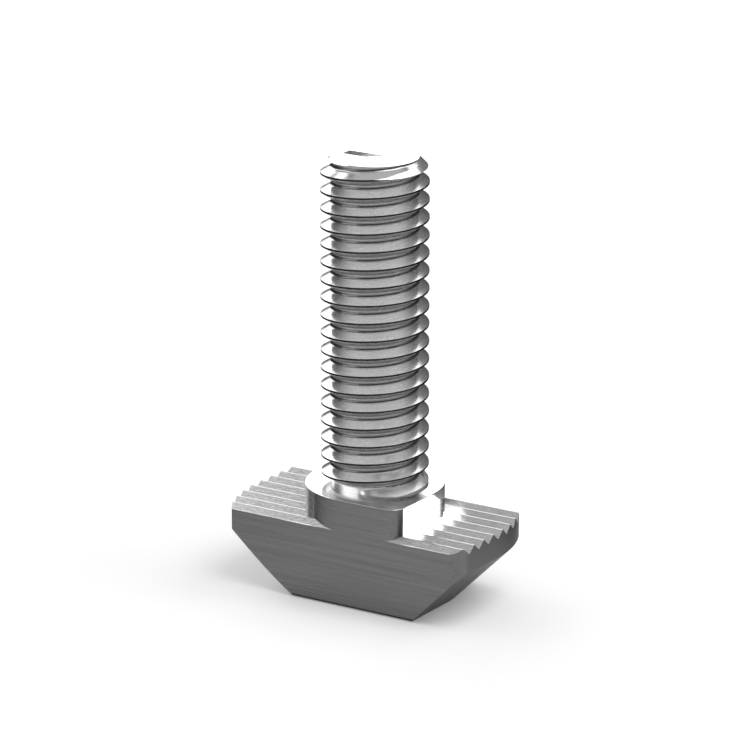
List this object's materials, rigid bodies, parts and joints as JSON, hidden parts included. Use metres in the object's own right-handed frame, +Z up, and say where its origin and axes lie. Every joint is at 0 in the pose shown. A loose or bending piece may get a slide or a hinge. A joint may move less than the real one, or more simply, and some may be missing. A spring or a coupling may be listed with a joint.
{
  "type": "t slot bolt",
  "caption": "Hammer-head T-slot bolt: toothed rectangular head with bevelled ends, square neck and threaded shank.",
  "frame": {"origin": "centre of the head's flat underside, on the shank's axis", "axes": "+Z up the shank towards its tip, +X along the head's long side, +Y across the head"},
  "size_m": [0.016, 0.0078, 0.0247],
  "materials": {
    "bright_steel": "bright plated steel, finely brushed along the head and polished on the rolled thread"
  },
  "bodies": {
    "root": {"t_slot_bolt": "bright_steel"}
  },
  "joints": []
}
